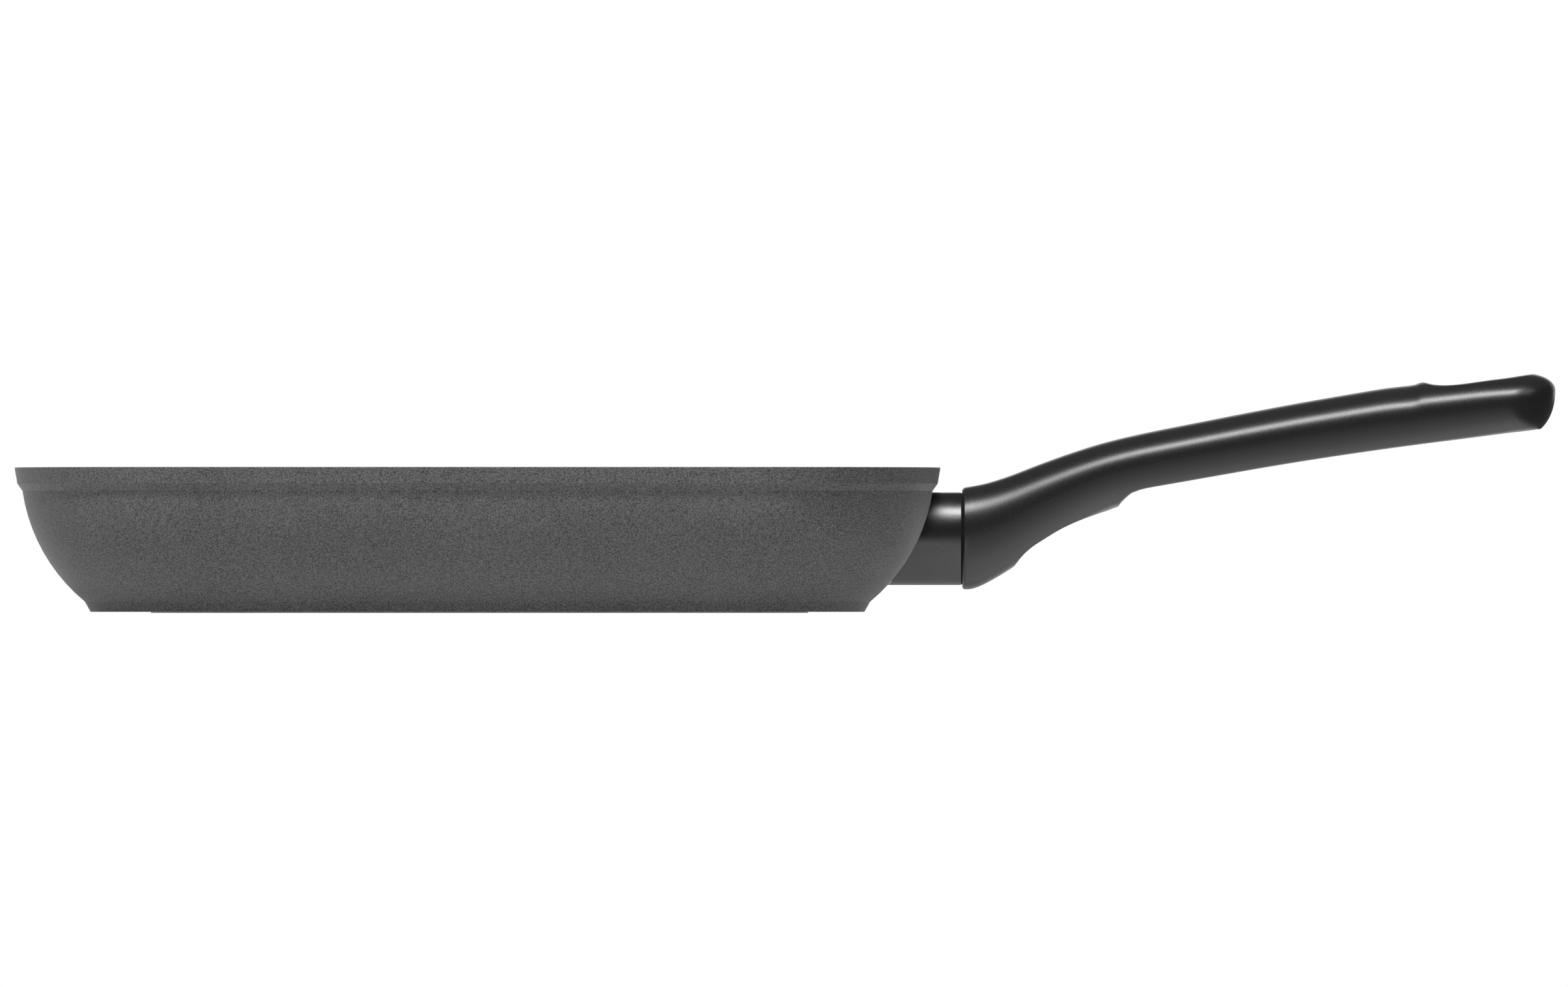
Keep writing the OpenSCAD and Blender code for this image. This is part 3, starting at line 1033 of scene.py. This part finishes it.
    def stations(self) -> list[Point2]:
        """Gives the places of the sections.

        Returns:
            Rows of distance and inset, closest where the shape turns fastest.
        """
        rows = []
        for i in range(self.front_rings):
            a = math.pi / 2 * i / self.front_rings
            rows.append((self.front_r * (1 - math.cos(a)), self.front_r * (1 - math.sin(a))))
        tail = self.length - self.tail_turn
        ends = (self.near_nub[0], self.nub[0], self.near_nub[1], self.near_dish[0], self.dish_line[0][0],
                self.near_dish[1], tail)
        start = self.front_r
        for end, count in zip(ends, self.span_rings):
            rows += [(start + (end - start) * i / count, 0.0) for i in range(count)]
            start = end
        for i in range(self.tail_rings + 1):
            rows.append((tail + self.tail_turn * math.sin(math.pi / 2 * i / self.tail_rings), 0.0))
        return rows

    def lip(self, surface: Height, way: float) -> list[Level]:
        """Gives the levels of a plug's mouth, which leaves a rounded edge.

        Args:
            surface: the height of the surface that the plug opens in.
            way: 1 where the mouth opens upwards, -1 where it opens downwards.

        Returns:
            Offsets and heights, from outside the surface inwards.
        """
        r = self.lip_r
        levels = [(r + self.lip_out, raised(surface, way * self.lip_rise))]
        for a in quarter_turn(self.lip_from, self.lip_steps):
            levels.append((r * (1 - math.sin(a)), raised(surface, -way * r * (1 - math.cos(a)))))
        return levels

    def hollow_plug(self) -> bpy.types.Object:
        """Gives the cutter for the hollow under the grip.

        Returns:
            The cutter.
        """
        levels = []
        for a in quarter_turn(0.0, self.roof_steps):
            drop = self.roof_r * (1 - math.cos(a))
            levels.append((-self.roof_r * (1 - math.sin(a)), raised(self.roof_at, -drop)))
        levels += reversed(self.lip(self.under_at, -1.0))
        plug = LongPlug("hollow_plug", self.hollow_front, self.length - self.hollow_end, self.hollow_half_w,
                        straight_steps=self.hollow_steps)
        return plug.build(levels, (self.front_x, 0.0, self.axis_z))

    def slot_plug(self) -> bpy.types.Object:
        """Gives the cutter for the hanging slot.

        Returns:
            The cutter.
        """
        end = self.length - self.slot_end
        plug = LongPlug("slot_plug", end - self.slot_len, end, self.slot_w / 2)
        levels = [*self.lip(self.dish_at, 1.0), *reversed(self.lip(self.under_at, -1.0))]
        return plug.build(levels, (self.front_x, 0.0, self.axis_z))

    def prism(self, name: str, start: float, end: float, outline: Sequence[Point2]) -> bpy.types.Object:
        """Gives a cutter that runs along X.

        Args:
            name: its name.
            start: where it starts, behind the front face.
            end: where it ends.
            outline: its outline, as width and height from the screw's axis.

        Returns:
            The cutter.
        """
        rings = [[(self.front_x + x, y, self.axis_z + z) for y, z in outline] for x in (start, end)]
        return ring_mesh(name, rings)

    def build(self) -> bpy.types.Object:
        """Builds the handle's mesh.

        Returns:
            The handle.
        """
        body = ring_mesh("handle_shell", [self.section(x, inset) for x, inset in self.stations()])
        high, wide, deep = self.socket
        well_h, well_w = self.well
        well = oval(well_w, well_w, well_h - well_w)
        hole = oval(self.screw_hole, self.screw_hole)
        cut(body, self.hollow_plug())
        cut(body, self.slot_plug())
        cut(body, self.prism("well_plug", self.seat_x, self.seat_x + self.well_len, well))
        cut(body, self.prism("socket_plug", -self.overlap, deep, oval(wide, high)))
        cut(body, self.prism("hole_plug", deep - self.overlap, self.seat_x + self.overlap, hole))
        smooth_up(body, self.smooth_angle)
        return body

    def dress(self) -> None:
        """Builds the handle and gives it its finish and its place in the frame."""
        body = self.build()
        body.data.materials.clear()
        body.data.materials.append(self.finish.material())
        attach(body, "root")
        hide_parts("handle")
        log.info("handle: %d faces, %d open edges", len(body.data.polygons), open_edges(body))


@dataclass
class CastPieces:
    """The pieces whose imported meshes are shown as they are, each with its finish."""

    finishes: dict[str, Finish] = field(default_factory=lambda: {
        "pan_body": COAT,
        "induction_disc": DISC_STEEL,
        "flame_guard": SLEEVE_METAL,
        "handle_seal": SEAL_RUBBER,
        "threaded_insert": FASTENER_STEEL,
        "handle_screw": FASTENER_STEEL,
        "spring_washer": FASTENER_STEEL,
        "flat_washer": FASTENER_STEEL,
    })

    def dress(self, nodes: dict[str, bpy.types.Object]) -> None:
        """Gives each piece its finish.

        Args:
            nodes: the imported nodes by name.
        """
        materials = {finish: finish.material() for finish in dict.fromkeys(self.finishes.values())}
        for name, finish in self.finishes.items():
            for slot in nodes[name].material_slots:
                slot.material = materials[finish]
            log.info("%s: %s", name, finish.name)


@dataclass
class Lamp:
    """A soft rectangular lamp that looks at the pan. Its power is in watts."""

    name: str
    place: Point3
    aim: Point3
    width: float
    height: float
    power: float
    glossy: bool = True

    def build(self) -> None:
        """Hangs the lamp."""
        data = bpy.data.lights.new(self.name, "AREA")
        data.shape = "RECTANGLE"
        data.size = self.width * MM
        data.size_y = self.height * MM
        data.energy = self.power
        lamp = bpy.data.objects.new(self.name, data)
        bpy.context.scene.collection.objects.link(lamp)
        lamp.location = Vector(self.place) * MM
        way = Vector(self.aim) - Vector(self.place)
        lamp.rotation_euler = way.to_track_quat("-Z", "Y").to_euler()
        lamp.visible_camera = False
        lamp.visible_glossy = self.glossy
        log.info("%s: %.1f W", self.name, self.power)


@dataclass
class DarkCard:
    """A dim card, swept from a line. Only glossy surfaces see it, as a dark part of the room."""

    name: str
    line: Sequence[Point3]
    sweep: Point3
    glow: float = 0.07

    def strength(self, sheet: NodeSheet) -> bpy.types.NodeSocket | float:
        """Gives how bright the card is; a card that isn't even adds nodes to the sheet for it."""
        return self.glow

    def build(self) -> None:
        """Hangs the card."""
        verts: list[Point3] = []
        for place in self.line:
            verts += [place, tuple(a + b for a, b in zip(place, self.sweep))]
        faces = [(2 * i, 2 * i + 1, 2 * i + 3, 2 * i + 2) for i in range(len(self.line) - 1)]
        card = mesh_object(self.name, verts, faces)
        material, sheet = new_material(self.name)
        light = sheet.add("ShaderNodeEmission")
        sheet.feed(light.inputs["Strength"], self.strength(sheet))
        sheet.show(light.outputs[0])
        card.data.materials.append(material)
        card.visible_camera = False
        card.visible_diffuse = False
        card.visible_shadow = False
        log.info("%s: %.2f", self.name, self.glow)


@dataclass
class TableCard(DarkCard):
    """A glowing card on the table in front of the handle, dimmer towards the camera: a painted reflection
    of the lit table, which only glossy surfaces see.
    """

    bright: float = 23.0
    fall: float = 0.44

    def strength(self, sheet: NodeSheet) -> bpy.types.NodeSocket:
        """Lets the card's light fall with the distance from the handle's axis.

        Args:
            sheet: the card's sheet.

        Returns:
            The strength.
        """
        split = sheet.add("ShaderNodeSeparateXYZ")
        sheet.feed(split.inputs[0], sheet.place())
        far = sheet.math("MULTIPLY", split.outputs["Y"], -1.0)
        share = sheet.math("DIVIDE", self.bright * MM, sheet.math("MAXIMUM", far, self.bright * MM))
        return sheet.math("MULTIPLY", sheet.math("POWER", share, self.fall), self.glow)


@dataclass
class Studio:
    """The pale floor, the lamps, the dark cards and the world."""

    floor_half: float = 6000.0
    floor_depth: float = 0.02
    floor_shade: float = 0.24
    floor_glow: float = 0.56

    # The floor turns plain white between these distances.
    floor_clear: Range = (1400.0, 3600.0)

    # How strong the world is as a light straight above, and how fast it falls towards the horizon.
    ambient: float = 0.4
    sky_fall: float = 2.0

    # The row of lamps high in front of the pan: name, place along X, width and power.
    strips: Sequence[tuple[str, float, float, float]] = (
        ("strip_left", -1125.0, 750.0, 3.9),
        ("strip_middle", -500.0, 500.0, 5.2),
        ("strip_main", 0.0, 500.0, 8.6),
        ("strip_right", 500.0, 500.0, 9.6),
    )
    strip_y: float = -1190.0
    strip_z: float = 1930.0
    strip_height: float = 630.0
    strip_aim_z: float = 20.0

    # The room that glossy surfaces see: its walls, its ceiling and the table before the handle.
    room_x: Range = (-4500.0, 3500.0)
    room_y: Range = (-2700.0, 4000.0)
    room_height: float = 2700.0
    ceiling_near: float = -900.0
    ceiling_z: Range = (1900.0, 2900.0)
    ceiling_len: float = 9000.0
    ceiling_glow: float = 0.12
    table_x: Range = (148.0, 342.0)
    table_z: float = 0.3
    table_len: float = 2695.0
    table_glow: float = 0.88
    table_end_len: float = 4700.0
    table_end_glow: float = 0.1

    def lamps(self) -> list[Lamp]:
        """Gives the lamps.

        Returns:
            The row of strips, and the lamp that lights the table and isn't mirrored.
        """
        lamps = []
        for name, x, width, power in self.strips:
            place, aim = (x, self.strip_y, self.strip_z), (x, 0.0, self.strip_aim_z)
            lamps.append(Lamp(name, place, aim, width, self.strip_height, power))
        lamps.append(Lamp("table_lamp", place=(-450.0, -1050.0, 2150.0), aim=(-20.0, -60.0, 0.0),
                          width=360.0, height=260.0, power=60.0, glossy=False))
        return lamps

    def cards(self) -> list[DarkCard]:
        """Gives the cards.

        Returns:
            The walls, the ceiling, the table in front of the handle and the table beyond its tip.
        """
        (left, right), (near, back) = self.room_x, self.room_y
        (start, end), (low, high) = self.table_x, self.ceiling_z
        walls = ((left, back, 0.0), (left, near, 0.0), (right, near, 0.0), (right, back, 0.0))
        ceiling = ((left, self.ceiling_near, high), (left, back, high), (left, back, low))
        table = ((start, near, self.table_z), (end, near, self.table_z))
        beyond = ((end, near, self.table_z), (right, near, self.table_z))
        return [
            DarkCard("room_card", walls, (0.0, 0.0, self.room_height)),
            DarkCard("ceiling_card", ceiling, (self.ceiling_len, 0.0, 0.0), self.ceiling_glow),
            TableCard("table_card", table, (0.0, self.table_len, 0.0), self.table_glow),
            DarkCard("table_end_card", beyond, (0.0, self.table_end_len, 0.0), self.table_end_glow),
        ]

    def sees_background(self, sheet: NodeSheet) -> bpy.types.NodeSocket:
        """Gives 1 for the rays that see the pale background.

        Args:
            sheet: the sheet to add the nodes to.

        Returns:
            The share.
        """
        path = sheet.add("ShaderNodeLightPath")
        first = sheet.math("MAXIMUM", path.outputs[Ray.CAMERA.value], path.outputs[Ray.GLOSSY.value])
        return sheet.math("MAXIMUM", first, path.outputs[Ray.TRANSMISSION.value])

    def build_world(self) -> None:
        """Builds the world: white to look at, dimmer as a light."""
        world = bpy.data.worlds.new("studio")
        bpy.context.scene.world = world
        world.use_nodes = True
        sheet = NodeSheet(world.node_tree)
        white = sheet.add("ShaderNodeBackground")
        white.inputs["Color"].default_value = WHITE
        glow = sheet.add("ShaderNodeBackground")
        glow.inputs["Color"].default_value = WHITE
        split = sheet.add("ShaderNodeSeparateXYZ")
        sheet.feed(split.inputs[0], sheet.add("ShaderNodeTexCoord").outputs["Generated"])
        height = sheet.spread(split.outputs["Z"], (0.0, 1.0))
        sky = sheet.math("POWER", height, self.sky_fall)
        sheet.feed(glow.inputs["Strength"], sheet.math("MULTIPLY", sky, self.ambient))
        share = self.sees_background(sheet)
        sheet.show(sheet.mixed(share, glow.outputs[0], white.outputs[0]), Output.WORLD)

    def build_floor(self) -> None:
        """Builds the floor: pale and shaded near the pan, plain white far from it."""
        s = self.floor_half
        z = -self.floor_depth
        floor = mesh_object("floor", [(-s, -s, z), (s, -s, z), (s, s, z), (-s, s, z)], [(0, 1, 2, 3)])
        material, sheet = new_material("pale_floor")
        matt = sheet.add("ShaderNodeBsdfDiffuse")
        matt.inputs["Color"].default_value = (*grey(self.floor_shade), 1.0)
        lit = sheet.add("ShaderNodeEmission")
        lit.inputs["Strength"].default_value = self.floor_glow
        table = sheet.add("ShaderNodeAddShader")
        sheet.feed(table.inputs[0], matt.outputs[0])
        sheet.feed(table.inputs[1], lit.outputs[0])
        white = sheet.add("ShaderNodeEmission")
        start, end = self.floor_clear
        far = sheet.spread(sheet.length(sheet.place()), (start * MM, end * MM))
        share = sheet.math("MULTIPLY", far, self.sees_background(sheet))
        sheet.show(sheet.mixed(share, table.outputs[0], white.outputs[0]))
        floor.data.materials.append(material)

    def build(self) -> None:
        """Builds the world, the floor, the lamps and the cards."""
        self.build_world()
        self.build_floor()
        for thing in (*self.lamps(), *self.cards()):
            thing.build()


@dataclass
class SideCamera:
    """A nearly level camera with a very long lens, far away in front of the pan."""

    lens: float = 1000.0
    sensor: float = 36.0
    frame_w: float = 475.64
    centre_x: float = 92.67
    centre_z: float = 36.24
    focus_y: float = -42.0
    height: float = 0.0
    clip: Range = (100.0, 100000.0)

    def build(self) -> None:
        """Places the camera and makes it the scene's own."""
        data = bpy.data.cameras.new("side_camera")
        data.lens = self.lens
        data.sensor_width = self.sensor
        data.clip_start = self.clip[0] * MM
        data.clip_end = self.clip[1] * MM
        camera = bpy.data.objects.new("side_camera", data)
        bpy.context.scene.collection.objects.link(camera)
        distance = self.frame_w * self.lens / self.sensor
        place = Vector((self.centre_x, self.focus_y - distance, self.height))
        aim = Vector((self.centre_x, self.focus_y, self.centre_z))
        camera.location = place * MM
        camera.rotation_euler = (aim - place).to_track_quat("-Z", "Y").to_euler()
        bpy.context.scene.camera = camera


def main() -> None:
    """Builds the pieces in order, then the studio and the camera."""
    logging.basicConfig(level=logging.INFO, format="%(name)s %(message)s")
    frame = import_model()
    CastPieces().dress(frame["nodes"])
    Handle().dress()
    Studio().build()
    SideCamera().build()
    bpy.context.scene.view_settings.view_transform = "Standard"
    bpy.context.view_layer.update()


if __name__ == "__main__":
    main()
